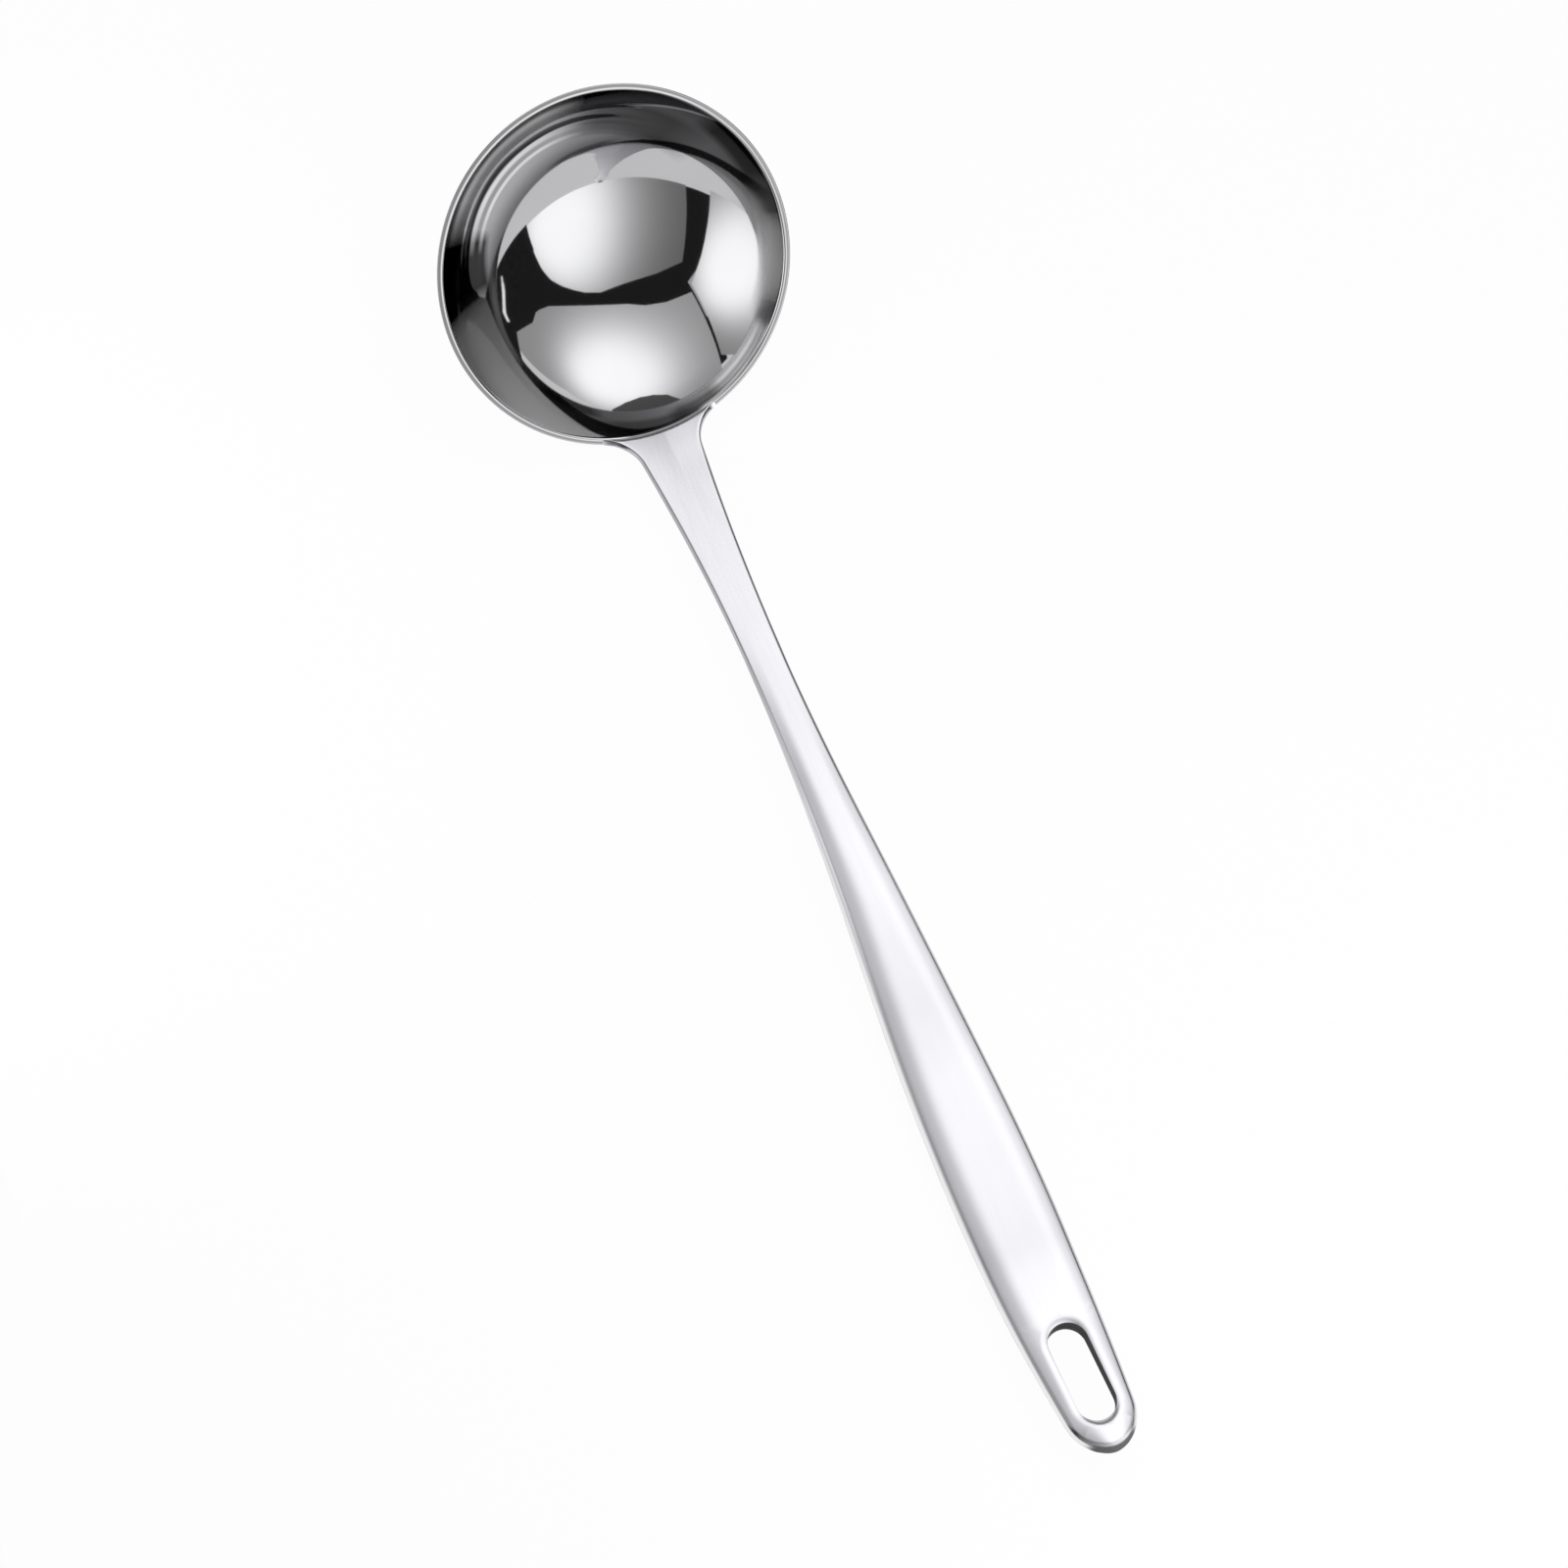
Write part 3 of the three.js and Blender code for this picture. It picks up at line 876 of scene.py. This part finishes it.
def make_light():
    world = bpy.data.worlds.new("studio")
    bpy.context.scene.world = world
    air = Finish(world)
    strength = 0.25 + 0.75 * seen(air)
    sky = air.node("ShaderNodeBackground", None, {"Color": grey(1), "Strength": strength})
    air.node("ShaderNodeOutputWorld", None, {"Surface": sky})

    ceiling = [
        (0.22, -0.76), (0.23, -0.4), (0.28, -0.17), (0.36, 0), (0.44, 0.27), (0.53, 0.58), (0.62, 0.9),
        (0.7, 1.2), (0.72, 1.5), (0.66, 2.6), (0.5, 3.5), (0.15, 3.5), (-0.08, 2.83), (-0.38, 1.93),
        (-0.58, 1.33), (-0.77, 1.03), (-0.95, 0.85), (-1.4, 0.8), (-1.4, -0.76),
    ]
    hot = overhead([(-0.34, 0.45)], ceiling_height)[0]
    reach = (0.56 * ceiling_height, 0.63 * ceiling_height, 1)
    card("tent_ceiling", overhead(ceiling, ceiling_height), glow("ceiling_glow", 1.87, 0.48, hot, reach))

    end_wall = [
        (0.355, table_level), (-0.38, table_level), (-0.38, 0.42), (-0.2, 0.45), (0, 0.45), (0.12, 0.455),
        (0.2, 0.42), (0.25, 0.38), (0.3, 0.33), (0.34, 0.27), (0.355, 0.2),
    ]
    leaning = [(end_along - end_lean * (up - table_level), across, up) for across, up in end_wall]
    card("tent_end", leaning, glow("end_glow", 1.84, 0.19, (0.39, 0.18, 0.07), (1, 0.24, 0.34)))

    side_wall = [
        (0.14, table_level), (-0.2, table_level), (-0.2, 0.25), (-0.1, 0.25), (0.07, 0.245), (0.095, 0.14),
        (0.115, 0.07),
    ]
    side_glow = glow("side_glow", 1.85, 0.38, (0.015, side_across, 0.09), (0.105, 1, 0.15))
    card("tent_side", upright(side_wall, side_across), side_glow)

    dark = plain_cloth("dark_cloth", 0.02)
    grey_cloth = plain_cloth("grey_cloth", 0.12)
    pale = plain_cloth("pale_cloth", 0.58)
    gap = [(0.12, -0.85), (0.75, -0.85), (0.77, 0.27), (1.3, 1.33), (0.63, 1.27), (0.32, 0.13), (0.16, -0.3)]
    flag("tent_gap", overhead(gap, gap_height), dark)
    joint = [(-0.9, -0.74), (-0.9, -0.9), (0.3, -0.9), (0.3, -0.74)]
    flag("tent_joint", overhead(joint, gap_height), dark)
    corner = [(48, 58), (45, 42), (98, 32), (98, 70), (74, 82)]
    flag("far_corner", [toward(*turns, corner_distance) for turns in corner], dark)
    flag("near_side", upright(oblong(0.22, 0.75, near_top), near_across), dark)
    flag("near_back", upright(oblong(-0.1, 0.23, near_top), near_back_across), pale)
    far_side = [(-0.12, table_level), (0.293, table_level), (0.266, 0.068), (-0.12, 0.068)]
    flag("far_side", upright(far_side, far_across), dark)
    slit = [
        (0.112, -0.004), (0.1, 0.011), (0.088, 0.02), (0.075, 0.0245), (0.063, 0.028), (0.05, 0.032),
        (0.039, 0.045), (0.036, 0.037), (0.048, 0.0205), (0.058, 0.019), (0.071, 0.0155), (0.083, 0.0105),
        (0.096, 0.002), (0.108, -0.008),
    ]
    flag("tent_slit", upright(slit, slit_across), plain_cloth("lit_slit", 1.3))
    shade = [
        (-0.69, 0.29), (-0.71, 0.14), (-0.79, 0.01), (-0.96, -0.08), (-1.2, -0.2), (-1.2, 0.95),
        (-0.95, 0.78), (-0.86, 0.71), (-0.74, 0.48),
    ]
    flag("neck_shade", overhead(shade, shade_height), grey_cloth)


def make_camera():
    lens = bpy.data.cameras.new("photo_camera")
    lens.lens = 81
    lens.sensor_width = 36
    camera = bpy.data.objects.new("photo_camera", lens)
    right = Vector((0.38764, 0.9184, 0.07901))
    down = Vector((0.88323, -0.3455, -0.31703))
    forward = Vector((-0.26379, 0.1927, -0.94516))
    turn = Matrix((right, -down, -forward)).transposed()
    place = Vector((0.20699, -0.16268, 0.76654))
    camera.matrix_world = Matrix.Translation(place) @ turn.to_4x4()
    bpy.context.scene.collection.objects.link(camera)
    bpy.context.scene.camera = camera


front_satin = satin_steel("satin_front_steel", grey(0.56, 0.025), grey(0.6, 0.025))
# The rear shell's copy of the satin steel is painted lighter than the front's: a painted highlight along the
# handle's lower edge.
rear_satin_painted_highlight = satin_steel("satin_rear_steel_painted_highlight", grey(0.72, 0.02), grey(0.78, 0.02))
stand_in(make_bowl(mirror_steel()), "bowl")
stand_in(make_front(front_satin), "handle_front")
stand_in(make_back(rear_satin_painted_highlight), "handle_back")
stand_in(make_sleeve(sleeve_steel()), "slot_sleeve")
stand_in(make_weld(weld_steel()), "neck_weld")

make_floor()
make_light()
make_camera()
bpy.context.scene.view_settings.view_transform = "Standard"
